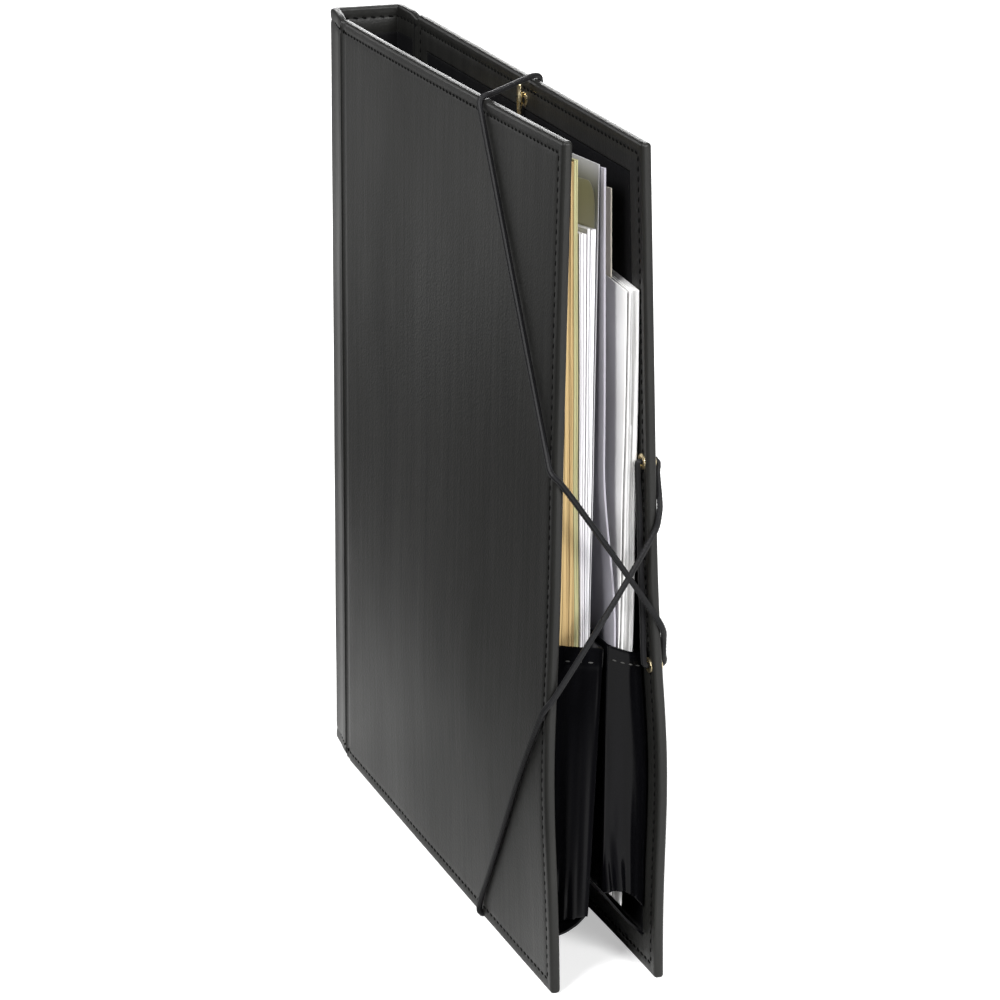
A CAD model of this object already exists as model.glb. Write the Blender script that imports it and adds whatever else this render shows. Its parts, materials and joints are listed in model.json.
# A music folder laced shut with one elastic cord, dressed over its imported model
import json
import math
import random

import bpy
import numpy as np
from mathutils import Matrix, Vector, noise


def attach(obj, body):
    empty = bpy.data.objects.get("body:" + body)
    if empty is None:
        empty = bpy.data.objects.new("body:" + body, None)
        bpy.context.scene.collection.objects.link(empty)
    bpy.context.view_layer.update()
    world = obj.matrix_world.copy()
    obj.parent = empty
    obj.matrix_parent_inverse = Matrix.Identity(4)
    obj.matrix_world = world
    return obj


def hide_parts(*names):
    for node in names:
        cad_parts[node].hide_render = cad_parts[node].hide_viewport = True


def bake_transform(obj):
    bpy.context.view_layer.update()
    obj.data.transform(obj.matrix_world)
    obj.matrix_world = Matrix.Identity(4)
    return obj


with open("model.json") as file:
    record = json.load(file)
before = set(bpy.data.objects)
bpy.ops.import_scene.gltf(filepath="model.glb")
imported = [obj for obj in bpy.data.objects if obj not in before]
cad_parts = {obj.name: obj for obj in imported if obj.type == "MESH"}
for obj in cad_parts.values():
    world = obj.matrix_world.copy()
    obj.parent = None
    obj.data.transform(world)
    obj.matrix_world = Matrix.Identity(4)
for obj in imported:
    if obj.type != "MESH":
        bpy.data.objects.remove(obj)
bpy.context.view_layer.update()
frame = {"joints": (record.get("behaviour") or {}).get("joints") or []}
random.seed(7)
mm = 0.001

# The foot of the front hinge groove: every place below is in millimetres from here
hingeAt = {joint["name"]: Vector(joint["pos_m"]) for joint in frame["joints"]}
groove = np.array([hingeAt["front_hinge"].x, hingeAt["front_hinge"].y, 0.0])
depthAtHinges = (hingeAt["back_hinge"].y - hingeAt["front_hinge"].y) / mm

cover = {
    "height": 355.6,
    "width": 280.0,
    "thickness": 4.2,
    "edgeRound": 1.45,
    "slit": 0.8,
    "turnIn": 14.0,
    "stitchMargin": 5.0,
    "stitchPitch": 4.1,
    "cornerLift": 2.8,
    "grooveDepth": 0.3,
    "gutterWidth": 6.0,
    "gutterDepth": 0.55,
}
frontStance = {"closing": 0.4, "splay": 1.2, "belly": 1.9, "pocketBow": 2.3}
backStance = {"closing": 3.2, "splay": 12.0, "belly": 0.2, "pocketBow": 3.1}
bow = {"height": 95.0, "spread": 52.0}
spine = {
    "strip": 29.0,
    "width": 34.0,
    "slant": 5.3,
    "thickness": 3.6,
    "fold": 4.2,
    "edgeRound": 1.15,
    "turnIn": 12.0,
    "grooveDepth": 0.35,
    "gutterWidth": 4.2,
    "gutterDepth": 0.45,
    "bedDepth": 0.95,
    "headPinch": 1.8,
    "footPinch": 1.2,
    "pinchAcross": 7.0,
    "pinchUp": 5.0,
    "roll": 1.1,
    "liningReach": 7.6,
    "tangentStep": 0.35,
}
smoothAngle = math.radians(38)
meshStep = 3.2


def bell(value, middle, width):
    return np.exp(-(((value - middle) / width) ** 2))


def waves(x, z, across, along, level, shift=0.0):
    return np.array([noise.noise((a / across + shift, b / along, level)) for a, b in zip(x, z)])


# The two covers and the spine as mappings from flat (across, depth, up) to the folder
def outward(stance, x, z):
    u = np.clip(x / cover["width"], 0, 1.05)
    up = z / cover["height"]
    spread = stance["splay"] * (1 - up) + stance["belly"] * np.sin(math.pi * up)
    spread = spread + stance["pocketBow"] * bell(z, bow["height"], bow["spread"])
    return spread * (1 - (1 - u) ** 2) - stance["closing"] * (x / cover["width"])


def onFront(flat):
    x, depth, z = flat.T
    lift = cover["cornerLift"] * (np.clip(x, 0, 300) / cover["width"]) ** 2 * (z / cover["height"]) ** 2
    return np.stack([x, depth - outward(frontStance, x, z), z + lift], 1)


def onBack(flat):
    x, depth, z = flat.T
    return np.stack([x, depthAtHinges - depth + outward(backStance, x, z), z], 1)


def spineLine():
    corners = [
        np.array([-cover["slit"] / 2, 0.0]),
        np.array([-spine["strip"], spine["slant"]]),
        np.array([-spine["strip"], spine["slant"] + spine["width"]]),
        np.array([-cover["slit"] / 2, depthAtHinges]),
    ]
    points = [corners[0]]
    for before, corner, after in zip(corners, corners[1:], corners[2:]):
        inDir = (corner - before) / np.linalg.norm(corner - before)
        outDir = (after - corner) / np.linalg.norm(after - corner)
        half = math.acos(float(inDir @ outDir)) / 2
        back = spine["fold"] * math.tan(half)
        enter = corner - inDir * back
        inner = np.array([-inDir[1], inDir[0]])
        side = 1.0 if inner @ outDir > 0 else -1.0
        centre = enter + inner * side * spine["fold"]
        for k in range(17):
            turn = side * 2 * half * k / 16
            arm = enter - centre
            points.append(centre + np.array([
                arm[0] * math.cos(turn) - arm[1] * math.sin(turn),
                arm[0] * math.sin(turn) + arm[1] * math.cos(turn),
            ]))
    points.append(corners[3])
    points = np.array(points)
    steps = np.linalg.norm(np.diff(points, axis=0), axis=1)
    return points, np.concatenate([[0], np.cumsum(steps)])


spinePoints, spineStops = spineLine()
spineLength = spineStops[-1]
firstFold = spineStops[1:18]
secondFold = spineStops[18:35]


def onSpine(flat):
    s, depth, z = flat.T
    s = np.clip(s, 0, spineLength)
    step = spine["tangentStep"]

    def at(stop, axis):
        return np.interp(np.clip(stop, 0, spineLength), spineStops, spinePoints[:, axis])
    dx = at(s + step, 0) - at(s - step, 0)
    dy = at(s + step, 1) - at(s - step, 1)
    length = np.hypot(dx, dy)
    return np.stack([at(s, 0) + dy / length * depth, at(s, 1) - dx / length * depth, z], 1)


def place(mapping, across, depth, up):
    return mapping(np.array([[across, depth, up]], float))[0]


def metres(point):
    return Vector(np.asarray(point, float) * mm + groove)


# Mesh helpers
def deselect():
    if bpy.context.object and bpy.context.object.mode != "OBJECT":
        bpy.ops.object.mode_set(mode="OBJECT")
    bpy.ops.object.select_all(action="DESELECT")


def active(name):
    piece = bpy.context.object
    piece.name = name
    piece.data.name = name
    return piece


def coordinates(piece):
    flat = np.empty(len(piece.data.vertices) * 3)
    piece.data.vertices.foreach_get("co", flat)
    return flat.reshape(-1, 3)


def moveTo(piece, points):
    piece.data.vertices.foreach_set("co", np.asarray(points, float).ravel())
    piece.data.update()


def useModifier(piece, kind, **settings):
    modifier = piece.modifiers.new(kind.title(), kind)
    for key, value in settings.items():
        setattr(modifier, key, value)
    deselect()
    piece.select_set(True)
    bpy.context.view_layer.objects.active = piece
    bpy.ops.object.modifier_apply(modifier=modifier.name)


def facesOut(piece):
    deselect()
    piece.select_set(True)
    bpy.context.view_layer.objects.active = piece
    bpy.ops.object.mode_set(mode="EDIT")
    bpy.ops.mesh.select_all(action="SELECT")
    bpy.ops.mesh.normals_make_consistent(inside=False)
    bpy.ops.object.mode_set(mode="OBJECT")
    bpy.ops.object.shade_smooth_by_angle(angle=smoothAngle)


def flatGrid(name, across, up):
    deselect()
    columns, rows = len(across) - 1, len(up) - 1
    bpy.ops.mesh.primitive_grid_add(x_subdivisions=columns, y_subdivisions=rows, size=1)
    piece = active(name)
    co = coordinates(piece)
    i = np.rint((co[:, 0] + 0.5) * columns).astype(int)
    j = np.rint((co[:, 1] + 0.5) * rows).astype(int)
    moveTo(piece, np.stack([np.asarray(across)[i], np.zeros(len(co)), np.asarray(up)[j]], 1) * mm)
    return piece


def flatSlab(name, across, up, thickness, edgeRound, segments=4):
    piece = flatGrid(name, across, up)
    useModifier(piece, "SOLIDIFY", thickness=thickness * mm, offset=-1)
    useModifier(piece, "BEVEL", width=edgeRound * mm, segments=segments, limit_method="ANGLE",
                angle_limit=math.radians(60))
    return piece


def bend(piece, mapping, relief=None):
    flat = coordinates(piece) / mm
    if relief:
        flat = relief(flat)
    moveTo(piece, mapping(flat) * mm + groove)
    facesOut(piece)
    return piece


def stops(low, high, edges, step):
    middle = np.linspace(low + edges[-1], high - edges[-1],
                         max(2, int((high - low - 2 * edges[-1]) / step) + 1))
    return np.concatenate([low + np.array(edges[:-1]), middle, high - np.array(edges[:-1])[::-1]])


def finishPiece(piece, material, body, slot, *nodes):
    piece.data.materials.clear()
    piece.data.materials.append(material)
    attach(piece, body)
    if nodes:
        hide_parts(*nodes)
    return piece


# Materials
def newMaterial(name):
    material = bpy.data.materials.new(name)
    material.use_nodes = True
    tree = material.node_tree
    return material, tree, tree.nodes["Principled BSDF"]


def node(tree, kind, **settings):
    made = tree.nodes.new(kind)
    for key, value in settings.items():
        if key in made.inputs:
            made.inputs[key].default_value = value
        else:
            setattr(made, key, value)
    return made


def ramp(tree, source, low, high, dark, light):
    made = tree.nodes.new("ShaderNodeMapRange")
    made.inputs["From Min"].default_value = low
    made.inputs["From Max"].default_value = high
    made.inputs["To Min"].default_value = dark
    made.inputs["To Max"].default_value = light
    tree.links.new(source, made.inputs["Value"])
    return made.outputs["Result"]


def mixColour(tree, factor, first, second):
    made = tree.nodes.new("ShaderNodeMix")
    made.data_type = "RGBA"
    tree.links.new(factor, made.inputs[0])
    made.inputs[6].default_value = (*first, 1)
    made.inputs[7].default_value = (*second, 1)
    return made.outputs[2]


def calculate(tree, operation, *sources):
    made = node(tree, "ShaderNodeMath", operation=operation)
    for socket, source in zip(made.inputs, sources):
        if isinstance(source, float):
            socket.default_value = source
        else:
            tree.links.new(source, socket)
    return made.outputs["Value"]


def scaled(tree, scale):
    coordinate = tree.nodes.new("ShaderNodeTexCoord")
    mapping = node(tree, "ShaderNodeMapping", Scale=scale)
    tree.links.new(coordinate.outputs["Object"], mapping.inputs["Vector"])
    return mapping.outputs["Vector"]


def noiseField(tree, scale, detail, stretch=(1, 1, 1), roughness=0.5):
    made = node(tree, "ShaderNodeTexNoise", Scale=scale, Detail=detail, Roughness=roughness)
    tree.links.new(scaled(tree, stretch), made.inputs["Vector"])
    return made.outputs["Fac"]


def setSockets(shader, values):
    for name, value in values.items():
        shader.inputs[name].default_value = value


def bumps(tree, shader, layers):
    normal = None
    for source, strength, distance in layers:
        made = tree.nodes.new("ShaderNodeBump")
        made.inputs["Strength"].default_value = strength
        made.inputs["Distance"].default_value = distance
        tree.links.new(source, made.inputs["Height"])
        if normal:
            tree.links.new(normal, made.inputs["Normal"])
        normal = made.outputs["Normal"]
    tree.links.new(normal, shader.inputs["Normal"])


leather = {"fineScale": 2.4, "streakScale": 220.0, "streakStretch": 0.045, "cloudScale": 14.0,
           "cloudStretch": 0.4, "cloudDepth": 0.0012, "streakDepth": 0.00022, "poreDepth": 0.00016,
           "fineDepth": 0.00008}


def leatherette(name, look):
    material, tree, shader = newMaterial(name)
    pores = node(tree, "ShaderNodeTexVoronoi", Scale=look["grain"])
    tree.links.new(scaled(tree, (1, 1, 1)), pores.inputs["Vector"])
    fine = noiseField(tree, look["grain"] * leather["fineScale"], 4.0)
    streaks = noiseField(tree, leather["streakScale"], 5.0, (1, 1, leather["streakStretch"]), 0.6)
    cloud = noiseField(tree, leather["cloudScale"], 3.0, (1, 1, leather["cloudStretch"]))
    bumps(tree, shader, [
        (cloud, 0.25, leather["cloudDepth"]),
        (streaks, look["streak"], leather["streakDepth"]),
        (pores.outputs["Distance"], look["grainDepth"], leather["poreDepth"]),
        (fine, look["grainDepth"], leather["fineDepth"]),
    ])
    tint = mixColour(tree, ramp(tree, streaks, 0.3, 0.7, 0, 1), look["dark"], look["light"])
    tree.links.new(tint, shader.inputs["Base Color"])
    roughness = ramp(tree, cloud, 0.3, 0.7, look["rough"] - 0.05, look["rough"] + 0.06)
    tree.links.new(roughness, shader.inputs["Roughness"])
    setSockets(shader, {"Specular IOR Level": look["gloss"]})
    return material


looks = {
    "cover": {"dark": (0.008, 0.008, 0.0076), "light": (0.014, 0.014, 0.013), "grain": 900.0,
              "grainDepth": 0.35, "streak": 0.5, "rough": 0.4, "gloss": 0.2},
    "inside": {"dark": (0.004, 0.004, 0.0045), "light": (0.006, 0.006, 0.0065), "grain": 1100.0,
               "grainDepth": 0.25, "streak": 0.15, "rough": 0.5, "gloss": 0.05},
    "pocket": {"dark": (0.001, 0.001, 0.0013), "light": (0.002, 0.002, 0.0026), "grain": 1300.0,
               "grainDepth": 0.08, "streak": 0.05, "rough": 0.2, "gloss": 0.09},
}
coverSkin = leatherette("coverLeatherette", looks["cover"])
insideSkin = leatherette("insideLeatherette", looks["inside"])
pocketSkin = leatherette("pocketLeatherette", looks["pocket"])


fibres = {
    "sewingThread": {"dark": (0.001, 0.001, 0.001), "light": (0.004, 0.004, 0.004), "scale": 2500.0,
                     "detail": 2.0, "depth": 0.0001, "rough": 0.8, "gloss": 0.05},
    "hemThread": {"dark": (0.02, 0.02, 0.02), "light": (0.07, 0.07, 0.065), "scale": 2500.0,
                  "detail": 2.0, "depth": 0.0001, "rough": 0.8, "gloss": 0.3},
    "braidedElastic": {"dark": (0.003, 0.003, 0.0035), "light": (0.012, 0.012, 0.013), "scale": 3000.0,
                       "detail": 3.0, "depth": 0.00008, "rough": 0.5, "gloss": 0.12, "sheen": 0.06},
}


def fibreMaterial(name):
    look = fibres[name]
    material, tree, shader = newMaterial(name)
    fuzz = noiseField(tree, look["scale"], look["detail"])
    bumps(tree, shader, [(fuzz, 0.5, look["depth"])])
    tree.links.new(mixColour(tree, fuzz, look["dark"], look["light"]), shader.inputs["Base Color"])
    setSockets(shader, {"Roughness": look["rough"], "Specular IOR Level": look["gloss"]})
    if "sheen" in look:
        setSockets(shader, {"Sheen Weight": look["sheen"], "Sheen Roughness": 0.4})
    return material


brassLook = {"dark": (0.5, 0.38, 0.18), "light": (0.86, 0.76, 0.52), "polished": 0.2, "worn": 0.42,
             "scale": 900.0, "depth": 0.00005}


def brassMaterial():
    material, tree, shader = newMaterial("wornBrass")
    cloud = noiseField(tree, brassLook["scale"], 4.0)
    tint = mixColour(tree, cloud, brassLook["dark"], brassLook["light"])
    tree.links.new(tint, shader.inputs["Base Color"])
    roughness = ramp(tree, cloud, 0.3, 0.7, brassLook["polished"], brassLook["worn"])
    tree.links.new(roughness, shader.inputs["Roughness"])
    setSockets(shader, {"Metallic": 1.0})
    bumps(tree, shader, [(cloud, 0.15, brassLook["depth"])])
    return material


paper = {"linesPerLeaf": 2.6, "linesUp": 2.0, "mottleScale": 60.0, "mottleStretch": 0.3,
         "edgeDepth": 0.0002, "mottleDepth": 0.0003}


def paperMaterial(name, light, shade):
    material, tree, shader = newMaterial(name)
    leaf = node(tree, "ShaderNodeUVMap", uv_map="leaves")
    mapping = node(tree, "ShaderNodeMapping", Scale=(paper["linesPerLeaf"], paper["linesUp"], 1))
    tree.links.new(leaf.outputs["UV"], mapping.inputs["Vector"])
    edge = node(tree, "ShaderNodeTexNoise", Scale=1.0, Detail=3.0, Roughness=0.7)
    tree.links.new(mapping.outputs["Vector"], edge.inputs["Vector"])
    mottle = noiseField(tree, paper["mottleScale"], 4.0, (1, 1, paper["mottleStretch"]))
    both = calculate(tree, "MULTIPLY", ramp(tree, edge.outputs["Fac"], 0.36, 0.58, 0, 1),
                     ramp(tree, mottle, 0.2, 0.6, 0.8, 1))
    tree.links.new(mixColour(tree, both, shade, light), shader.inputs["Base Color"])
    bumps(tree, shader, [(edge.outputs["Fac"], 0.3, paper["edgeDepth"]), (mottle, 0.1, paper["mottleDepth"])])
    setSockets(shader, {"Roughness": 0.8, "Specular IOR Level": 0.25})
    return material


thread = fibreMaterial("sewingThread")
hemThread = fibreMaterial("hemThread")
elastic = fibreMaterial("braidedElastic")
brass = brassMaterial()

# Covers: a wrapped board with a stitched groove, a soft gutter beside the hinge and a recess for the lining
borderStops = [0, 1.5, 2.7, 3.6, 4.35, 5.0, 5.65, 6.4, 8.4, 11.0, 13.6, 14.4, 17.0]
liningStops = [0, 1.2, 3]
skinForm = {"seamWidth": 0.95, "puff": 0.14, "puffAt": 2.6, "puffWidth": 1.2, "innerPuff": 0.6,
            "innerSeam": 0.3, "calmRim": 12.0, "bedDepth": 1.0, "bedSoft": 0.9, "bedGap": 0.1,
            "wave": 0.3, "streak": 0.05}


def band(value, low, high, soft):
    rise = np.clip((value - low) / soft + 0.5, 0, 1)
    fall = np.clip((high - value) / soft + 0.5, 0, 1)
    rise = rise * rise * (3 - 2 * rise)
    fall = fall * fall * (3 - 2 * fall)
    return rise * fall


def seamLine(inset):
    return bell(inset, cover["stitchMargin"], skinForm["seamWidth"])


def ripple(x, z, seed):
    wide = waves(x, z, 70, 95, 0.3, seed)
    tall = waves(x, z, 16, 160, 7.1, seed)
    return wide * skinForm["wave"] + tall * skinForm["streak"]


def coverRelief(seed):
    def shape(flat):
        x, depth, z = flat.T
        half = cover["thickness"] / 2
        fore = cover["width"] - x
        edge = np.minimum(np.minimum(z, cover["height"] - z), fore)
        seam = seamLine(edge) * cover["grooveDepth"]
        seam = seam * np.clip((x - 0.5) / 2, 0, 1)
        gutter = band(x, 1.4, cover["gutterWidth"], 1.6) * cover["gutterDepth"]
        calm = np.clip(edge / skinForm["calmRim"], 0, 1) * np.clip(x / skinForm["calmRim"], 0, 1)
        wave = ripple(x, z, seed) * calm
        puff = skinForm["puff"] * bell(edge, skinForm["puffAt"], skinForm["puffWidth"])
        outside = np.clip((half - depth) / half, -1, 1)
        outerShift = np.where(outside > 0, outside, 0) * (seam + gutter - wave - puff)
        margin = np.minimum(np.minimum(z, cover["height"] - z), np.minimum(x, fore))
        bed = band(margin, cover["turnIn"] + skinForm["bedGap"], 1000, skinForm["bedSoft"])
        bed = bed * skinForm["bedDepth"]
        innerSeam = seamLine(margin) * skinForm["innerSeam"]
        innerShift = np.where(outside < 0, -outside, 0) * (bed + innerSeam - puff * skinForm["innerPuff"])
        return np.stack([x, depth + outerShift - innerShift, z], 1)
    return shape


def cutWith(piece, cutters):
    deselect()
    for cutter in cutters:
        cutter.select_set(True)
    bpy.context.view_layer.objects.active = cutters[0]
    if len(cutters) > 1:
        bpy.ops.object.join()
    joined = bpy.context.object
    useModifier(piece, "BOOLEAN", object=joined, operation="DIFFERENCE", solver="EXACT")
    bpy.data.objects.remove(joined)


def cylinderAt(centre, radius, depth, axis):
    deselect()
    bpy.ops.mesh.primitive_cylinder_add(vertices=32, radius=radius * mm, depth=depth * mm,
                                        location=metres(centre))
    made = bpy.context.object
    made.rotation_mode = "QUATERNION"
    made.rotation_quaternion = Vector(axis).to_track_quat("Z", "Y")
    deselect()
    made.select_set(True)
    bpy.ops.object.transform_apply()
    return made


cordNotch = {"frontX": 196.0, "backX": 178.0, "radius": 2.3, "height": 1.1, "cutDepth": 14.0}
eyelet = {"bore": 3.4, "wall": 0.5, "flange": 6.6, "lip": 0.55, "clearance": 0.1, "cutDepth": 12.0,
          "proud": 0.25}
lining = {"gap": 0.45, "thickness": 0.85, "edgeRound": 0.3, "sunk": 0.98, "wave": 0.06, "meshStep": 6.0}
spineLiningForm = {"thickness": 0.8, "edgeRound": 0.25, "sunk": 0.9, "meshStep": 5.0}
eyelets = {
    "eyelet_top": (145.0, 346.0),
    "eyelet_fore_upper": (274.8, 225.0),
    "eyelet_fore_lower": (274.8, 138.0),
    "eyelet_bottom": (168.0, 9.6),
}


def surfaceNormal(mapping, x, z):
    along = place(mapping, x + 1, 0, z) - place(mapping, x - 1, 0, z)
    up = place(mapping, x, 0, z + 1) - place(mapping, x, 0, z - 1)
    normal = np.cross(up, along)
    return Vector(normal / np.linalg.norm(normal))


def makeCover(side, mapping, seed, notchX, holes):
    middle = cover["thickness"] / 2
    across = stops(cover["slit"] / 2, cover["width"], borderStops, meshStep)
    up = stops(0, cover["height"], borderStops, meshStep)
    skin = flatSlab(side + "CoverSkin", across, up, cover["thickness"], cover["edgeRound"])
    bend(skin, mapping, coverRelief(seed))
    cutters = [cylinderAt(place(mapping, notchX, middle, cordNotch["height"]), cordNotch["radius"],
                          cordNotch["cutDepth"], (0, 1, 0))]
    holeRadius = eyelet["bore"] / 2 + eyelet["wall"] + eyelet["clearance"]
    for x, z in holes:
        cutters.append(cylinderAt(place(mapping, x, middle, z), holeRadius, eyelet["cutDepth"],
                                  surfaceNormal(mapping, x, z)))
    cutWith(skin, cutters)
    bpy.context.view_layer.objects.active = skin
    skin.select_set(True)
    bpy.ops.object.shade_smooth_by_angle(angle=smoothAngle)
    finishPiece(skin, coverSkin, side + "_cover", "leatherette", side + "_covering")
    inset = cover["turnIn"] + lining["gap"]
    panel = flatSlab(side + "LiningPanel",
                     stops(inset, cover["width"] - inset, liningStops, lining["meshStep"]),
                     stops(inset, cover["height"] - inset, liningStops, lining["meshStep"]),
                     lining["thickness"], lining["edgeRound"], 2)

    def sink(flat):
        x, depth, z = flat.T
        lift = waves(x, z, 40, 60, 3.0, seed) * lining["wave"]
        return np.stack([x, depth + cover["thickness"] - lining["sunk"] + lift, z], 1)
    bend(panel, mapping, sink)
    finishPiece(panel, insideSkin, side + "_cover", "lining", side + "_lining")


makeCover("front", onFront, 2.0, cordNotch["frontX"], [])
makeCover("back", onBack, 9.0, cordNotch["backX"], list(eyelets.values()))
print("covers made")


# Spine: one strip with two soft folds, a lining and the stitched ends
def spineRelief(flat):
    s, depth, z = flat.T
    half = spine["thickness"] / 2
    toHead = cover["height"] - z
    edge = np.minimum(z, toHead)
    seam = seamLine(edge) * spine["grooveDepth"]
    ends = np.minimum(s, spineLength - s)
    gutter = band(ends, 1.2, spine["gutterWidth"], 1.4) * spine["gutterDepth"]
    nearHinge = bell(ends, 0, spine["pinchAcross"])
    headPinch = nearHinge * bell(toHead, 0, spine["pinchUp"]) * spine["headPinch"]
    footPinch = nearHinge * bell(z, 0, spine["pinchUp"]) * spine["footPinch"]
    wave = waves(s, z, 22, 60, 5.0) * 0.3
    wave = wave * np.clip(edge / 10, 0, 1) * np.clip(ends / 6, 0, 1)
    wave = wave + spine["roll"] * bell(ends, firstFold.mean(), 9)
    outside = np.clip((half - depth) / half, -1, 1)
    shift = np.where(outside > 0, outside, 0) * (seam + gutter - wave)
    margin = np.minimum(edge, ends + 5)
    bed = band(margin, spine["turnIn"] + skinForm["bedGap"], 1000, skinForm["bedSoft"])
    innerShift = np.where(outside < 0, -outside, 0) * (bed * spine["bedDepth"] + seam * 0.8)
    shift = shift - innerShift
    return np.stack([s, depth + shift, z - headPinch + footPinch], 1)


def foldedStops():
    rim, step, beside = np.array([0, 1.3, 2.6, 4.0]), 2.6, 1.5
    values, last = [rim], rim[-1]
    for fold in (firstFold, secondFold):
        start, end = fold[0] - beside, fold[-1] + beside
        values.append(np.linspace(last, start, int((start - last) / step) + 2)[1:])
        values.append(np.linspace(start, end, 13)[1:])
        last = end
    final = spineLength - rim[-1]
    values.append(np.linspace(last, final, int((final - last) / step) + 2)[1:])
    values.append(spineLength - rim[-2::-1])
    return np.concatenate(values)


spineSkin = flatSlab("spineSkin", foldedStops(), stops(0, cover["height"], borderStops, meshStep),
                     spine["thickness"], spine["edgeRound"])
bend(spineSkin, onSpine, spineRelief)
finishPiece(spineSkin, coverSkin, "spine", "leatherette", "spine_covering")

spineInset = spine["turnIn"] + lining["gap"]
spineLining = flatSlab("spineLiningPanel",
                       np.clip(foldedStops(), spine["liningReach"], spineLength - spine["liningReach"])[3:-3],
                       stops(spineInset, cover["height"] - spineInset, liningStops,
                             spineLiningForm["meshStep"]),
                       spineLiningForm["thickness"], spineLiningForm["edgeRound"], 2)
liningShift = np.array([0, spine["thickness"] - spineLiningForm["sunk"], 0])
bend(spineLining, onSpine, lambda flat: flat + liningShift)
finishPiece(spineLining, insideSkin, "spine", "lining", "spine_lining")


# The leatherette that runs on across each hinge groove, outside and inside
hingeStrip = {
    "thickness": 0.6,
    "slope": 0.18,
    "sagWidth": 1.2,
    "Outer": {"depth": 0.95, "reach": 3.4, "inset": 1.6, "sag": 0.3},
    "Inner": {"depth": 2.7, "reach": 4.6, "inset": 3.0, "sag": -0.3},
}


def hingeStrips(side, hingeY, towards):
    for layer in ("Outer", "Inner"):
        form = hingeStrip[layer]
        strip = flatGrid(side + "Hinge" + layer, np.linspace(-form["reach"], form["reach"], 15),
                         stops(0, cover["height"], [0, 1.2, 4.0], 5))
        flat = coordinates(strip) / mm
        x, z = flat[:, 0], flat[:, 2]
        z = form["inset"] + z * (cover["height"] - 2 * form["inset"]) / cover["height"]
        sag = form["sag"] * bell(x, 0, hingeStrip["sagWidth"])
        slope = np.where(x < 0, -x * hingeStrip["slope"], 0)
        y = hingeY + towards * (form["depth"] + sag + slope)
        moveTo(strip, np.stack([x, y, z], 1) * mm + groove)
        useModifier(strip, "SOLIDIFY", thickness=hingeStrip["thickness"] * mm, offset=0)
        facesOut(strip)
        strip.data.materials.append(coverSkin if layer == "Outer" else insideSkin)
        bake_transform(strip)


hingeStrips("front", 0.0, 1)
hingeStrips("back", depthAtHinges, -1)
print("spine made")


# Stitches: one thread loop, repeated along each flat row and bent with its panel
stitch = {"length": 2.5, "width": 1.15, "height": 0.8, "slant": 16.0, "outerDepth": 0.3, "innerDepth": 0.22,
          "spineOuterDepth": 0.28, "spineInnerDepth": 0.2}


def sewRow(name, rows, mapping, body, depth):
    made = []
    for fromPoint, toPoint in rows:
        start, end = Vector(fromPoint), Vector(toPoint)
        run = end - start
        count = max(2, int(run.length / cover["stitchPitch"]))
        pitch = run.length / count
        deselect()
        bpy.ops.mesh.primitive_uv_sphere_add(segments=8, ring_count=6, radius=0.5 * mm)
        loop = bpy.context.object
        loop.scale = (stitch["length"], stitch["height"], stitch["width"])
        loop.rotation_euler = (0, math.radians(stitch["slant"]), 0)
        bpy.ops.object.transform_apply()
        useModifier(loop, "ARRAY", use_relative_offset=False, use_constant_offset=True, count=count,
                    constant_offset_displace=(pitch * mm, 0, 0))
        co = coordinates(loop) / mm
        turn = math.atan2(run.y, run.x)
        along = start.x + (co[:, 0] + pitch / 2) * math.cos(turn) - co[:, 2] * math.sin(turn)
        up = start.y + (co[:, 0] + pitch / 2) * math.sin(turn) + co[:, 2] * math.cos(turn)
        moveTo(loop, mapping(np.stack([along, co[:, 1] + depth, up], 1)) * mm + groove)
        made.append(loop)
    deselect()
    for loop in made:
        loop.select_set(True)
    bpy.context.view_layer.objects.active = made[0]
    bpy.ops.object.join()
    piece = active(name)
    facesOut(piece)
    return finishPiece(piece, thread, body, "leatherette")


rowInset = cover["stitchMargin"]
rowFore, rowHead = cover["width"] - rowInset, cover["height"] - rowInset


def coverRows(low):
    return [((low, rowHead), (rowFore, rowHead)), ((low, rowInset), (rowFore, rowInset)),
            ((rowFore, rowInset), (rowFore, rowHead))]


outerRows = coverRows(1.2)
innerRows = coverRows(rowInset) + [((rowInset, rowInset), (rowInset, rowHead))]
for side, mapping in (("front", onFront), ("back", onBack)):
    sewRow(side + "OuterStitches", outerRows, mapping, side + "_cover", stitch["outerDepth"])
    sewRow(side + "InnerStitches", innerRows, mapping, side + "_cover",
           cover["thickness"] - stitch["innerDepth"])
spineRows = [((2.0, z), (spineLength - 2, z)) for z in (rowHead, rowInset)]
sewRow("spineOuterStitches", spineRows, onSpine, "spine", stitch["spineOuterDepth"])
sewRow("spineInnerStitches", spineRows, onSpine, "spine", spine["thickness"] - stitch["spineInnerDepth"])
print("stitches made")

# Pockets: one strip, and s counts along it: flange 0 to 1, gusset, panel 2 to 3, fore gusset, flange 4 to 5.
# Share runs from its foot to its hem, and a web closes the foot
pocket = {"sheet": 0.9, "hem": 1.5, "hemHeight": 8.0, "top": 148.0, "spineSide": 16.0, "flange": 11.0,
          "webSag": 1.5, "seat": 0.3}
frontPocket = {"panelFoot": 16.2, "panelHead": 21.3, "fold": 31.0, "gussetFoot": 27.0, "webSeam": 24.0,
               "coverSide": 265.0, "panelSide": 276.0, "bulge": 2.2, "dip": 0.0, "curlAt": 3.85,
               "footRise": 0.0}
backPocket = {"panelFoot": 24.8, "panelHead": 25.0, "fold": 38.0, "gussetFoot": 28.0, "webSeam": 16.0,
              "coverSide": 268.5, "panelSide": 270.0, "bulge": 2.6, "dip": 7.0, "curlAt": 3.2,
              "footRise": 4.5}


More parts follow.
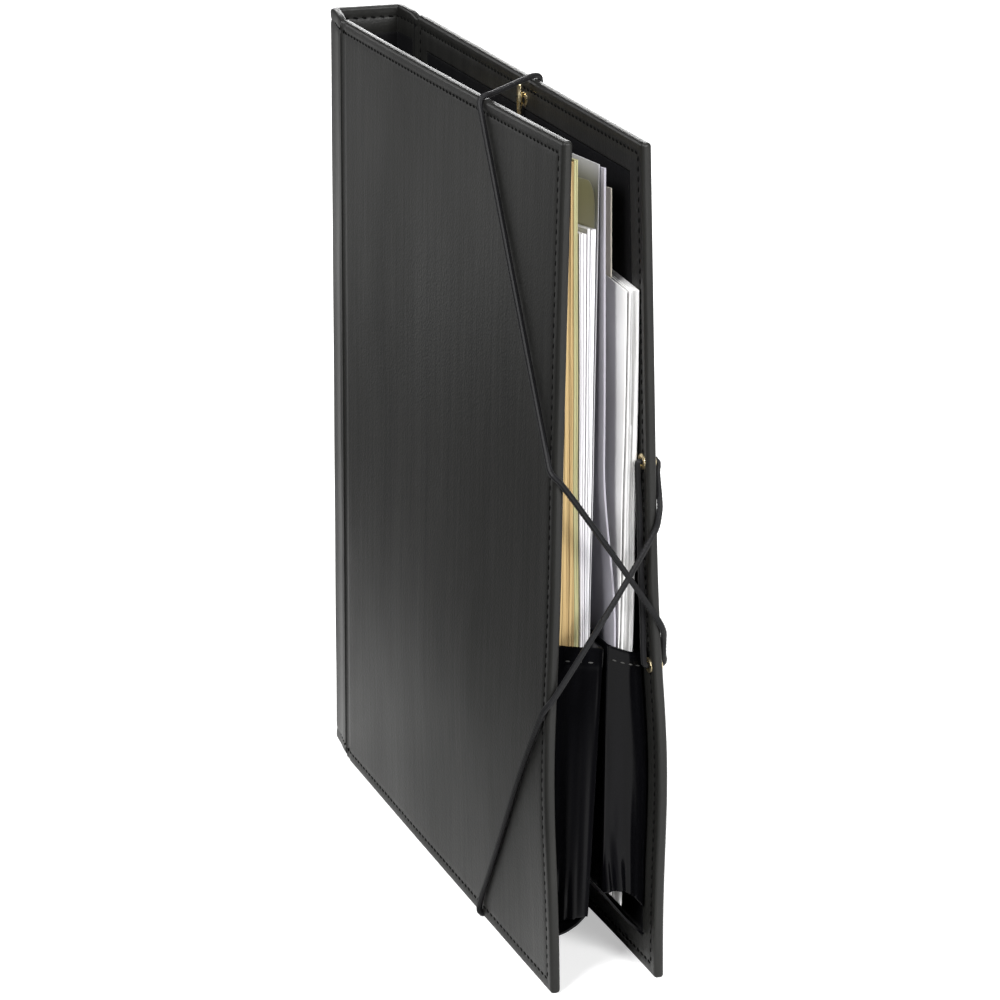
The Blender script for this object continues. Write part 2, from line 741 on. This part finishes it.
def pocketPoint(mapping, shape, s, share):
    def onCover(x, z):
        return place(mapping, x, cover["thickness"] + pocket["seat"] + pocket["sheet"] / 2, z)

    def onPanel(x, z):
        depth = (z - shape["fold"]) / (pocket["top"] - shape["fold"])
        y = shape["panelFoot"] + (shape["panelHead"] - shape["panelFoot"]) * depth
        return np.array([x, y, z])

    def height(foot):
        return foot + (pocket["top"] - foot) * share
    near, far = pocket["spineSide"], pocket["spineSide"] + pocket["flange"]
    if s <= 1:
        return onCover(far + (near - far) * s, height(shape["gussetFoot"]))
    if s >= 4:
        return onCover(shape["coverSide"] - pocket["flange"] * (s - 4), height(shape["gussetFoot"]))
    if 2 <= s <= 3:
        return onPanel(near + (shape["panelSide"] - near) * (s - 2), height(shape["fold"]))
    t = s - 1 if s < 2 else 4 - s
    coverX, panelX, out = (near, near, -1) if s < 2 else (shape["coverSide"], shape["panelSide"], 1)
    z = height(shape["gussetFoot"] + (shape["fold"] - shape["gussetFoot"]) * t)
    point = onCover(coverX, z) * (1 - t) + onPanel(panelX, z) * t
    point[0] += out * shape["bulge"] * math.sin(math.pi * t) * (1 - share * 0.6)
    return point


curl = {"footShare": 0.2, "width": 0.22, "pleats": 21.0, "lean": 14.0, "pleatOut": 1.3, "bulgeOut": 1.4,
        "pleatUp": 0.5, "ridge": 0.7, "ridgeWidth": 0.018, "tuck": 0.35, "lowTuck": 1.3, "lowShare": 0.28,
        "drift": 0.5, "panelWave": 0.35}


def sagged(point, shape, s, share):
    point = point.copy()
    if s > 3:
        point[2] -= shape["dip"] * share ** 3 * min(1.0, s - 3) ** 0.8
    foot = bell(share, 0, curl["footShare"])
    nearSeam = bell(s, shape["curlAt"], curl["width"])
    fold = math.sin((s - 3) * curl["pleats"] + share * curl["lean"]) * foot * nearSeam
    if 3.02 < s < 3.98:
        point[0] += fold * curl["pleatOut"] + foot * nearSeam * curl["bulgeOut"]
        rise = shape["footRise"] * (1 - share) ** 9 * math.sin(math.pi * (s - 3))
        point[2] += fold * curl["pleatUp"] + rise
    ridge = bell(s, 3, curl["ridgeWidth"]) + bell(s, 2, curl["ridgeWidth"])
    point[0] += ridge * curl["ridge"] * (1 if s > 2.5 else -1)
    return point


def softCrease(point, share, s, seed, out):
    low = bell(share, 0, curl["lowShare"])
    tuck = noise.noise((s * 6 + seed, share * 2.2, 2.0)) * (curl["tuck"] + curl["lowTuck"] * low)
    drift = noise.noise((s * 2 + seed, share * 3.0, 6.0)) * curl["drift"]
    gusset = 1.0 if 1.05 < s < 1.95 or 3.05 < s < 3.95 else 0.0
    moved = point.copy()
    moved[0] += out * (tuck + drift) * gusset
    if 2.1 < s < 2.9:
        wave = noise.noise((point[0] / 45 + seed, point[2] / 40, 1.0)) * curl["panelWave"]
        moved[1] += wave * math.sin(math.pi * (s - 2))
    return moved


def makePocket(side, mapping, shape, seed, hemSide):
    sStops = np.concatenate([np.linspace(0, 1, 5), np.linspace(1, 2, 15)[1:-1], [1.985, 2, 2.01],
                             np.linspace(2, 3, 61)[1:-1], [2.99, 3, 3.015], np.linspace(3, 4, 27)[1:],
                             np.linspace(4, 5, 5)[1:]])
    reach = pocket["top"] - shape["fold"]
    hemStart = 1 - pocket["hemHeight"] / reach
    up = np.concatenate([np.linspace(0, hemStart - 0.006, 42), np.linspace(hemStart, 1, 5)])
    wall = flatGrid(side + "PocketWall", sStops, up)
    flat = coordinates(wall) / mm
    points = []
    for s, _, share in flat:
        point = sagged(pocketPoint(mapping, shape, s, share), shape, s, share)
        points.append(softCrease(point, share, s, seed, 1 if s > 2.5 else -1))
    group = wall.vertex_groups.new(name="hem")
    thin = pocket["sheet"] / pocket["hem"]
    for index, share in enumerate(flat[:, 2]):
        group.add([index], 1.0 if share >= hemStart - 1e-6 else thin, "REPLACE")
    moveTo(wall, np.array(points) * mm + groove)
    useModifier(wall, "SOLIDIFY", thickness=pocket["hem"] * mm, offset=0, vertex_group="hem")
    useModifier(wall, "SUBSURF", levels=1, render_levels=1)
    facesOut(wall)
    web = flatGrid(side + "PocketWeb", np.linspace(pocket["spineSide"] + 1, shape["panelSide"] - 1, 60),
                   np.linspace(0, 1, 15))
    flat = coordinates(web) / mm
    points = []
    for x, _, t in flat:
        panelSeam = np.array([x, shape["panelFoot"], shape["fold"] + 0.6])
        seam = place(mapping, x, cover["thickness"] + pocket["seat"] + pocket["sheet"] / 2, shape["webSeam"])
        point = panelSeam * (1 - t) + seam * t
        crumple = noise.noise((x / 14, t * 3, seed)) * 0.8
        point[2] += (crumple - pocket["webSag"]) * math.sin(math.pi * t)
        points.append(point)
    moveTo(web, np.array(points) * mm + groove)
    useModifier(web, "SOLIDIFY", thickness=pocket["sheet"] * mm, offset=0)
    facesOut(web)
    for piece in (wall, web):
        finishPiece(piece, pocketSkin, side + "_cover", "pocket_sheet")
    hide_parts(side + "_pocket")

    # The hem's stitches stand on the outer side of the panel and of the fore gusset
    def alongHem(flat):
        out = []
        for s, depth, share in flat:
            point = sagged(pocketPoint(mapping, shape, s, share), shape, s, share)
            ahead = sagged(pocketPoint(mapping, shape, s + 0.004, share), shape, s + 0.004, share)
            along = ahead - point
            normal = np.array([along[1], -along[0], 0]) / max(1e-6, np.hypot(along[0], along[1]))
            out.append(softCrease(point, share, s, seed, 1) + normal * hemSide * depth)
        return np.array(out)
    hemShare = 1 - (pocket["hemHeight"] - 2.0) / reach
    panelLength, gussetLength = shape["panelSide"] - pocket["spineSide"], 18.0
    sewAlong(side + "HemPanel", alongHem, 2.02, 2.98, panelLength, hemShare, side + "_cover")
    sewAlong(side + "HemGusset", alongHem, 3.06, 3.92, gussetLength, hemShare, side + "_cover")


hemStitch = {"pitch": 3.6, "aim": 1.6, "depth": 0.95, "length": 2.1, "width": 0.5, "height": 0.7}


def sewAlong(name, mapping, first, last, length, share, body):
    count = int(length * (last - first) / hemStitch["pitch"])
    deselect()
    bpy.ops.mesh.primitive_uv_sphere_add(segments=8, ring_count=5, radius=0.5 * mm)
    row = bpy.context.object
    unit = coordinates(row) / mm
    size = len(unit)
    useModifier(row, "ARRAY", use_relative_offset=False, use_constant_offset=True, count=count,
                constant_offset_displace=(4 * mm, 0, 0))
    co = coordinates(row)
    for k in range(count):
        s = first + (last - first) * (k + 0.5) / count
        ahead = s + hemStitch["aim"] / length
        base, tip = mapping(np.array([[s, hemStitch["depth"], share], [ahead, hemStitch["depth"], share]]))
        along = (tip - base) / np.linalg.norm(tip - base)
        across = np.cross(along, (0, 0, 1.0))
        loop = (unit[:, [0]] * along * hemStitch["length"] + unit[:, [1]] * across * hemStitch["width"]
                + unit[:, [2]] * np.array([0, 0, hemStitch["height"]]))
        co[k * size:(k + 1) * size] = ((base + tip) / 2 + loop) * mm + groove
    moveTo(row, co)
    row.name = name
    facesOut(row)
    return finishPiece(row, hemThread, body, "pocket_sheet")


makePocket("front", onFront, frontPocket, 3.0, -1)
makePocket("back", onBack, backPocket, 8.0, 1)
print("pockets made")


# Eyelets and end bars, turned on a lathe
def lathe(name, outline, centre, axis, steps=40):
    deselect()
    bpy.ops.mesh.primitive_plane_add(size=1)
    piece = active(name)
    bpy.ops.object.mode_set(mode="EDIT")
    bpy.ops.mesh.select_all(action="SELECT")
    bpy.ops.mesh.delete(type="VERT")
    bpy.ops.object.mode_set(mode="OBJECT")
    closed = outline[0] == outline[-1]
    points = outline[:-1] if closed else outline
    edges = [(i, i + 1) for i in range(len(points) - 1)] + ([(len(points) - 1, 0)] if closed else [])
    piece.data.from_pydata([(r * mm, 0, h * mm) for r, h in points], edges, [])
    bpy.ops.object.mode_set(mode="EDIT")
    bpy.ops.mesh.select_all(action="SELECT")
    bpy.ops.mesh.spin(steps=steps, angle=2 * math.pi, center=(0, 0, 0), axis=(0, 0, 1))
    bpy.ops.mesh.select_all(action="SELECT")
    bpy.ops.mesh.remove_doubles(threshold=1e-6)
    bpy.ops.object.mode_set(mode="OBJECT")
    piece.rotation_mode = "QUATERNION"
    piece.rotation_quaternion = Vector(axis).to_track_quat("Z", "Y")
    piece.location = metres(centre)
    deselect()
    piece.select_set(True)
    bpy.context.view_layer.objects.active = piece
    bpy.ops.object.transform_apply()
    facesOut(piece)
    return piece


bore, flange = eyelet["bore"] / 2, eyelet["flange"] / 2
reachOut = cover["thickness"] / 2 + eyelet["proud"]
rimTop = reachOut + eyelet["lip"]
halfEyelet = [(bore, 0), (bore, rimTop - 0.3), (bore + 0.12, rimTop - 0.08), (bore + 0.35, rimTop),
              (flange - 0.6, rimTop - 0.04), (flange - 0.2, rimTop - 0.2), (flange, reachOut + 0.12),
              (flange, reachOut - 0.25), (bore + eyelet["wall"], reachOut - 0.25), (bore + eyelet["wall"], 0)]
eyeletOutline = halfEyelet + [(r, -h) for r, h in halfEyelet[1:-1]][::-1] + [halfEyelet[0]]
for name, (x, z) in eyelets.items():
    ring = lathe(name.replace("eyelet_", "eyelet").title().replace("_", "") + "Ring", eyeletOutline,
                 place(onBack, x, cover["thickness"] / 2, z), surfaceNormal(onBack, x, z))
    finishPiece(ring, brass, "back_cover", "brass", name)

bar = {"diameter": 2.3, "length": 13.0, "collar": 0.06, "standOff": 1.1}
barR, barHalf = bar["diameter"] / 2, bar["length"] / 2
barOutline = [(0, -barHalf), (barR * 0.6, -barHalf), (barR * 0.92, -barHalf + 0.25), (barR, -barHalf + 0.7),
              (barR, -1.7), (barR * 1.12, -1.3), (barR * 1.12, 1.3), (barR, 1.7), (barR, barHalf - 0.7),
              (barR * 0.92, barHalf - 0.25), (barR * 0.6, barHalf), (0, barHalf)]
barDepth = cover["thickness"] + bar["standOff"] + barR + bar["diameter"] * bar["collar"]
for end, axis in (("top", (0, 0, 1)), ("bottom", (1, 0, 0))):
    x, z = eyelets["eyelet_" + end]
    made = lathe("endbar" + end, barOutline, place(onBack, x, barDepth, z), axis)
    finishPiece(made, brass, "back_cover", "brass", "end_bar_" + end)
print("eyelets made")

# Elastic cord: laced as the solid is, rounded through its points and braided
cord = {"diameter": 2.5, "clearance": 0.12, "around": 20, "step": 0.5, "strands": 5, "braidPitch": 3.2,
        "braidDepth": 0.075, "edgeRadius": 1.5}
# Where it goes over an edge: along the top from the hinge, along the fore-edge from the foot
crossing = {"topBack": (149, 151), "topLoop": (152.5, 186), "topFront": (189, 188), "upperFront": (225, 221),
            "lowerBack": (150, 159), "upperBack": (211, 198), "lowerFront": (124, 130)}


def cordRoute():
    radius = cord["diameter"] / 2
    lift = radius + cord["clearance"]
    edgeR = cord["edgeRadius"]
    over = edgeR + lift
    lip = 0.5 + 0.3 + lift
    thick, high, wide = cover["thickness"], cover["height"], cover["width"]
    quarter = [math.radians(a) for a in (0, 30, 60, 90)]
    top, upper = eyelets["eyelet_top"], eyelets["eyelet_fore_upper"]
    lower, bottom = eyelets["eyelet_fore_lower"], eyelets["eyelet_bottom"]
    points = []

    def go(mapping, *rows):
        points.extend(place(mapping, *row) for row in rows)

    def leave(hole, dx, dz, reach):
        x, z = hole
        return [(x, -thick / 2, z), (x, -0.9, z), (x + dx * 0.5, -1.9, z + dz * 0.5),
                (x + dx * 1.7, -lip, z + dz * 1.7), (x + dx * reach, -lift, z + dz * reach)]

    def foreWrap(z0, z1):
        return [(wide - edgeR + over * math.sin(a), edgeR - over * math.cos(a), z0 + (z1 - z0) * i / 3)
                for i, a in enumerate(quarter)]

    def topWrap(x0, x1):
        return [(x0 + (x1 - x0) * i / 3, edgeR - over * math.cos(a), high - edgeR + over * math.sin(a))
                for i, a in enumerate(quarter)]

    def underWrap(x):
        return [(x, -lift, 4.9), (x, -1.45, 3.3), (x, -0.85, 1.95), (x, 0.2, 1.35), (x, thick + 0.5, 1.35)]

    def diagonal(x0, z0, x1, z1, shares):
        return [(x0 + (x1 - x0) * t, -lift - 0.1, z0 + (z1 - z0) * t) for t in shares]
    go(onBack, (top[0], thick + 0.8, top[1]), *leave(top, 0.75, 0.65, 5))
    loopBack, loopFront = crossing["topLoop"]
    go(onBack, *topWrap(*crossing["topBack"]), (loopBack, thick, high + lift))
    go(onFront, (loopFront, thick, high + lift), *topWrap(*crossing["topFront"])[::-1])
    go(onFront, *diagonal(crossing["topFront"][0], high - edgeR, wide - edgeR, crossing["upperFront"][0],
                          (0.04, 0.2, 0.36, 0.52, 0.68, 0.84, 0.96)))
    go(onFront, *foreWrap(*crossing["upperFront"]))
    go(onBack, *foreWrap(*crossing["lowerBack"])[::-1], *leave(lower, 0.45, 0.9, 5)[::-1])
    x, low, tall = lower[0], lower[1], upper[1]
    go(onBack, (x, thick + 0.9, low), (x, thick + 1.9, low + 0.5), (x, thick + lip, low + 1.7),
       (x, thick + lip, low + 6))
    go(onBack, *[(x, thick + lift + 0.3, low + (tall - low) * t) for t in (0.25, 0.5, 0.75)])
    go(onBack, (x, thick + lip, tall - 6), (x, thick + lip, tall - 1.7), (x, thick + 1.9, tall - 0.5),
       (x, thick + 0.9, tall))
    go(onBack, *leave(upper, 0.4, -0.9, 5), *foreWrap(*crossing["upperBack"]))
    go(onFront, *foreWrap(*crossing["lowerFront"])[::-1])
    go(onFront, *diagonal(wide - edgeR, crossing["lowerFront"][0], cordNotch["frontX"], 6.3,
                          (0.04, 0.2, 0.36, 0.52, 0.68, 0.84, 0.97)))
    go(onFront, *underWrap(cordNotch["frontX"]))
    go(onBack, *underWrap(cordNotch["backX"])[::-1], *leave(bottom, 0.8, -0.35, 5)[::-1])
    go(onBack, (bottom[0], thick + 0.8, bottom[1]))
    return np.array(points)


def smoothRoute(points, step):
    ends = [2 * points[0] - points[1], *points, 2 * points[-1] - points[-2]]
    fine = []
    for p0, p1, p2, p3 in zip(ends, ends[1:], ends[2:], ends[3:]):
        t0, t1 = 0.0, np.linalg.norm(p1 - p0) ** 0.5
        t2 = t1 + np.linalg.norm(p2 - p1) ** 0.5
        t3 = t2 + np.linalg.norm(p3 - p2) ** 0.5
        for t in np.linspace(t1, t2, max(3, int(np.linalg.norm(p2 - p1) / 0.25)), endpoint=False):
            a1 = p0 * (t1 - t) / (t1 - t0) + p1 * (t - t0) / (t1 - t0)
            a2 = p1 * (t2 - t) / (t2 - t1) + p2 * (t - t1) / (t2 - t1)
            a3 = p2 * (t3 - t) / (t3 - t2) + p3 * (t - t2) / (t3 - t2)
            b1 = a1 * (t2 - t) / (t2 - t0) + a2 * (t - t0) / (t2 - t0)
            b2 = a2 * (t3 - t) / (t3 - t1) + a3 * (t - t1) / (t3 - t1)
            fine.append(b1 * (t2 - t) / (t2 - t1) + b2 * (t - t1) / (t2 - t1))
    fine = np.array(fine + [points[-1]])
    lengths = np.concatenate([[0], np.cumsum(np.linalg.norm(np.diff(fine, axis=0), axis=1))])
    even = np.arange(0, lengths[-1], step)
    return np.stack([np.interp(even, lengths, fine[:, k]) for k in range(3)], 1)


def braidedTube(name, line, along):
    tangents = np.gradient(line, axis=0)
    tangents /= np.linalg.norm(tangents, axis=1)[:, None]
    side = np.cross(tangents[0], (0.3, 0.2, 1.0))
    side /= np.linalg.norm(side)
    rings, around = [], cord["around"]
    for index, (point, tangent) in enumerate(zip(line, tangents)):
        side = side - tangent * (side @ tangent)
        side /= np.linalg.norm(side)
        other = np.cross(tangent, side)
        s = along + index * cord["step"]
        for k in range(around):
            angle = 2 * math.pi * k / around
            twist = 2 * math.pi * s / cord["braidPitch"]
            weave = math.sin(cord["strands"] * angle + twist) * math.sin(cord["strands"] * angle - twist)
            radius = cord["diameter"] / 2 * (0.97 + cord["braidDepth"] * weave)
            rings.append(point + radius * (math.cos(angle) * side + math.sin(angle) * other))
    count = len(line)
    faces = []
    for i in range(count - 1):
        for k in range(around):
            e = (k + 1) % around
            faces.append((i * around + k, i * around + e, (i + 1) * around + e, (i + 1) * around + k))
    faces.append(tuple(range(around))[::-1])
    faces.append(tuple((count - 1) * around + k for k in range(around)))
    mesh = bpy.data.meshes.new(name)
    mesh.from_pydata([tuple(p) for p in np.array(rings) * mm + groove], [], faces)
    piece = bpy.data.objects.new(name, mesh)
    bpy.context.scene.collection.objects.link(piece)
    facesOut(piece)
    bpy.context.view_layer.objects.active = piece
    bpy.ops.object.shade_smooth()
    return piece


route = smoothRoute(cordRoute(), cord["step"])
middleY, frontY, backY = 19.0, 4.4, 33.5
isFront = route[:, 1] < middleY
turns = [0, *(np.nonzero(np.diff(isFront.astype(int)))[0] + 1), len(route)]
for number, (a, b) in enumerate(zip(turns, turns[1:])):
    side, nearY = ("front", frontY) if isFront[(a + b) // 2] else ("back", backY)
    stretch = braidedTube(f"elasticCord{number + 1}", route[a:min(b + 1, len(route))], a * cord["step"])
    stretch.data.materials.append(elastic)
    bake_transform(stretch)
    if number == 0:
        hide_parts("elastic_cord")
print("cord made", len(turns) - 1, "stretches")

# Sheet music: every book is a pile of leaves that lean and part a little.
# Near and far are the depths of its two faces at the four heights, from its pocket's foot to the top
heights = [45.0, 150.0, 225.0, 350.0]
frontPapers = ("song_book", "green_booklet", "part_book_a", "part_book_b", "sleeve_sheet", "sleeve_card")
music = {
    "song_book": {"foreX": 263.5, "top": 346.8, "near": [4.4, 3.8, 5.2, 5.8], "far": [9.2, 13.6, 12.4, 11.2],
                  "leaves": 15, "stray": 0.7, "slot": "cream_paper",
                  "light": (0.55, 0.41, 0.20), "shade": (0.33, 0.21, 0.085)},
    "green_booklet": {"foreX": 263.5, "top": 347.2, "near": [9.5, 13.9, 12.7, 11.5],
                      "far": [10.6, 15.6, 14.4, 13.0], "leaves": 3, "stray": 0.4, "slot": "green_card",
                      "light": (0.50, 0.47, 0.26), "shade": (0.30, 0.30, 0.15)},
    "part_book_a": {"foreX": 265.0, "top": 318.0, "near": [10.9, 15.9, 14.7, 13.3],
                    "far": [12.8, 17.5, 17.0, 16.4], "leaves": 6, "stray": 0.9, "slot": "white_paper",
                    "light": (0.82, 0.81, 0.83), "shade": (0.60, 0.58, 0.60)},
    "part_book_b": {"foreX": 265.5, "top": 319.5, "near": [13.1, 17.8, 17.3, 16.7],
                    "far": [14.8, 19.3, 20.0, 20.4], "leaves": 6, "stray": 0.9, "slot": "white_paper",
                    "light": (0.84, 0.84, 0.86), "shade": (0.62, 0.60, 0.62)},
    "sleeve_sheet": {"foreX": 265.0, "top": 344.9, "near": [15.1, 19.6, 20.3, 21.1],
                     "far": [15.5, 20.0, 20.7, 21.5], "leaves": 1, "stray": 0.0, "drop": 0.06,
                     "slot": "clear_sleeve", "light": (0.42, 0.42, 0.43), "shade": (0.30, 0.30, 0.31)},
    "loose_sheet": {"foreX": 269.0, "top": 344.5, "near": [27.2, 29.2, 23.4, 22.0],
                    "far": [27.9, 29.9, 24.1, 22.8], "leaves": 2, "stray": 0.8, "slot": "lilac_paper",
                    "light": (0.40, 0.39, 0.43), "shade": (0.29, 0.28, 0.32)},
    "divider_card": {"foreX": 256.0, "top": 332.8, "near": [30.3, 32.2, 31.3, 29.8],
                     "far": [30.8, 32.7, 31.8, 30.3], "leaves": 1, "stray": 0.0, "slot": "buff_card",
                     "light": (0.92, 0.87, 0.76), "shade": (0.78, 0.72, 0.60)},
    "back_booklet": {"foreX": 268.5, "top": 296.0, "near": [29.4, 31.3, 30.4, 28.6],
                     "far": [36.4, 37.2, 35.8, 33.4], "leaves": 12, "stray": 0.8, "drop": -0.06,
                     "lean": 0.048, "aboveWeb": 1.2, "wrapper": 0.35, "wrapperGap": 1.0,
                     "slot": "booklet_paper", "light": (0.88, 0.88, 0.88), "shade": (0.50, 0.49, 0.48)},
}
paperSpineSide = 32.0
leafShare = 0.93


def leaning(values, z):
    share = np.interp(z, heights, range(4))
    i = np.clip(share.astype(int), 0, 2)
    t = np.clip(share - i, 0, 1)
    t = t * t * (3 - 2 * t)
    values = np.array(values)
    return values[i] * (1 - t) + values[i + 1] * t


def tilted(book, x, z, top):
    away = book["foreX"] - x
    share = (z - heights[0]) / (top - heights[0])
    drop = np.minimum(away * book.get("drop", 0.12), 14) * share
    if "corner" in book:
        radius = book["corner"]
        within = np.clip(radius - away, 0, radius)
        drop = drop + (radius - np.sqrt(radius ** 2 - within ** 2)) * share
    return z - drop


def webHeight(y):
    seamY = place(onBack, 262, cover["thickness"], backPocket["webSeam"])[1]
    share = (y - backPocket["panelFoot"]) / (seamY - backPocket["panelFoot"])
    return backPocket["fold"] + (backPocket["webSeam"] - backPocket["fold"]) * min(1.0, max(0.0, share))


def makeBook(name, book, seed):
    pieces = []
    count = book["leaves"]
    for leaf in range(count):
        low, high = leaf / count, (leaf + leafShare) / count if count > 1 else 1.0
        foreX = book["foreX"] - random.uniform(0, book["stray"])
        top = book["top"] - random.uniform(0, book["stray"] * 0.7)
        across = np.concatenate([np.linspace(paperSpineSide, foreX - 12, 22),
                                 np.linspace(foreX - 12, foreX, 13)[1:]])
        foot = heights[0]
        if "aboveWeb" in book:
            foot = webHeight(book["near"][0] + (book["far"][0] - book["near"][0]) * low) + book["aboveWeb"]
        sheet = flatGrid(f"{name}Leaf{leaf}", across, np.linspace(foot, top, 60))
        flat = coordinates(sheet) / mm
        x, z = flat[:, 0], flat[:, 2]
        sway = waves(x, z, 60, 45, leaf * 0.35, seed)
        near, far = leaning(book["near"], z), leaning(book["far"], z)
        thick = far - near
        free = np.clip((x - 200) / 60, 0, 1) * np.minimum(1.0, thick / count * 0.9) * (0 < leaf < count - 1)
        y0 = near + thick * low + sway * free * 0.8
        y1 = near + thick * high + sway * free * 0.8
        if "wrapper" in book and leaf == 0:
            y1 = y0 + book["wrapper"]
        elif "wrapper" in book:
            y0, y1 = y0 + book["wrapperGap"], y1 + book["wrapperGap"] * (1 - leaf / count)
        x = x + book.get("lean", 0.0) * (z - pocket["top"])
        z = tilted(book, flat[:, 0], z, top)
        moveTo(sheet, np.stack([x, y0, z], 1) * mm + groove)
        total = len(z)
        useModifier(sheet, "SOLIDIFY", thickness=0.1 * mm, offset=-1)
        co = coordinates(sheet)
        co[total:] = np.stack([x, y1, z], 1) * mm + groove
        moveTo(sheet, co)
        layers = sheet.data.uv_layers
        layer = layers[0] if layers else layers.new(name="leaves")
        layer.name = "leaves"
        levels = co[:, 2] / mm / heights[-1]
        for edge in sheet.data.loops:
            v = edge.vertex_index
            layer.data[edge.index].uv = (leaf + (leafShare if v >= total else 0.0), levels[v])
        pieces.append(sheet)
    deselect()
    for sheet in pieces:
        sheet.select_set(True)
    bpy.context.view_layer.objects.active = pieces[0]
    if len(pieces) > 1:
        bpy.ops.object.join()
    whole = bpy.context.object if len(pieces) > 1 else pieces[0]
    whole.name = name.title().replace("_", "")
    facesOut(whole)
    material = paperMaterial(name + "Paper", book["light"], book["shade"])
    body = "front_cover" if name in frontPapers else "back_cover"
    return finishPiece(whole, material, body, book["slot"], *([name] if name in music else []))


for number, (name, book) in enumerate(music.items()):
    makeBook(name, book, number * 3.7)
sleeveCard = {"foreX": 262.0, "top": 337.4, "near": [14.85, 19.35, 20.05, 20.7],
              "far": [15.0, 19.5, 20.2, 20.9], "leaves": 1, "stray": 0.0, "corner": 9.0,
              "slot": "clear_sleeve", "light": (0.62, 0.60, 0.50), "shade": (0.50, 0.48, 0.40)}
makeBook("sleeve_card", sleeveCard, 4.4)
print("sheet music made")

# Camera at the photograph's place, pale floor, pale world and soft lamps
camera = {"place": (1633.1, -519.0, 681.0), "azimuth": 69.93, "down": 17.86, "roll": 0.32, "lens": 138.67}
bpy.ops.object.camera_add(location=metres(camera["place"]))
eye = bpy.context.object
eye.data.lens = camera["lens"]
eye.data.sensor_width = 36
eye.data.clip_end = 50
turn = Matrix.Rotation(math.radians(camera["azimuth"]), 4, "Z")
tilt = Matrix.Rotation(math.radians(90 - camera["down"]), 4, "X")
rollTurn = Matrix.Rotation(math.radians(camera["roll"]), 4, "Z")
eye.matrix_world = Matrix.Translation(eye.location) @ turn @ tilt @ rollTurn
bpy.context.scene.camera = eye

# The camera sees the floor pale. What the folder mirrors of it is dark in front and pale behind it
studio = {"floorSize": 30.0, "floorSeen": (0.75, 0.75, 0.75, 1), "floorGlow": 0.45,
          "mirroredDark": (0.035, 0.035, 0.035), "mirroredPale": (0.95, 0.95, 0.94),
          "behind": (-0.25, 0.0, 0, 1.06), "behindPower": 3.0, "leftSide": (-0.7, -1.2, 0, 0.4),
          "worldLight": (0.06, 0.06, 0.063, 1)}
lamps = {
    "keyLamp": {"place": (1.3, -2.0, 2.2), "target": (0, 0, 0.2), "size": (1.2, 1.2), "power": 150},
    "rimLamp": {"place": (-1.9, 0.85, 0.62), "target": (0, 0, 0.3), "size": (0.9, 0.5), "power": 12},
    "topLamp": {"place": (-0.4, 0.3, 2.4), "target": (0, 0, 0.2), "size": (1.0, 1.0), "power": 30},
    "foreLamp": {"place": (2.5, 0.5, 1.3), "target": (0.1, 0, 0.2), "size": (0.7, 1.2), "power": 85},
    "leftLamp": {"place": (-1.5, -0.95, 0.7), "target": (-0.05, 0, 0.28), "size": (0.5, 0.7), "power": 5},
}


def byRay(tree, others, seen, output):
    path = tree.nodes.new("ShaderNodeLightPath")
    pick = tree.nodes.new("ShaderNodeMixShader")
    tree.links.new(path.outputs["Is Camera Ray"], pick.inputs["Fac"])
    tree.links.new(others, pick.inputs[1])
    tree.links.new(seen, pick.inputs[2])
    tree.links.new(pick.outputs["Shader"], tree.nodes[output].inputs["Surface"])


def floorMaterial():
    material, tree, shader = newMaterial("paleFloor")
    setSockets(shader, {"Base Color": studio["floorSeen"], "Roughness": 0.9, "Specular IOR Level": 0.0})
    where = tree.nodes.new("ShaderNodeTexCoord")
    split = tree.nodes.new("ShaderNodeSeparateXYZ")
    tree.links.new(where.outputs["Object"], split.inputs["Vector"])
    behind = ramp(tree, split.outputs["Y"], *studio["behind"])
    behind = calculate(tree, "POWER", behind, studio["behindPower"])
    lit = calculate(tree, "ADD", behind, ramp(tree, split.outputs["X"], *studio["leftSide"]))
    mirrored = tree.nodes.new("ShaderNodeBsdfDiffuse")
    tree.links.new(mixColour(tree, lit, studio["mirroredDark"], studio["mirroredPale"]),
                   mirrored.inputs["Color"])
    glow = node(tree, "ShaderNodeEmission", Color=(1, 1, 1, 1), Strength=studio["floorGlow"])
    both = tree.nodes.new("ShaderNodeAddShader")
    tree.links.new(shader.outputs["BSDF"], both.inputs[0])
    tree.links.new(glow.outputs["Emission"], both.inputs[1])
    byRay(tree, mirrored.outputs["BSDF"], both.outputs["Shader"], "Material Output")
    return material


def softLamp(name, form):
    bpy.ops.object.light_add(type="AREA", location=form["place"])
    lamp = bpy.context.object
    lamp.name = name
    lamp.data.shape = "RECTANGLE"
    lamp.data.size, lamp.data.size_y = form["size"]
    lamp.data.energy = form["power"]
    aim = Vector(form["target"]) - Vector(form["place"])
    lamp.rotation_euler = aim.to_track_quat("-Z", "Y").to_euler()


deselect()
bpy.ops.mesh.primitive_plane_add(size=studio["floorSize"], location=(0, 0, 0))
floor = bpy.context.object
floor.name = "paleFloor"
floor.data.materials.append(floorMaterial())

world = bpy.data.worlds.new("studio")
bpy.context.scene.world = world
world.use_nodes = True
worldTree = world.node_tree
background = worldTree.nodes["Background"]
background.inputs["Color"].default_value = studio["worldLight"]
white = node(worldTree, "ShaderNodeBackground", Color=(1, 1, 1, 1))
byRay(worldTree, background.outputs["Background"], white.outputs["Background"], "World Output")
for name, form in lamps.items():
    softLamp(name, form)
bpy.context.scene.view_settings.view_transform = "Standard"

print("scene made")
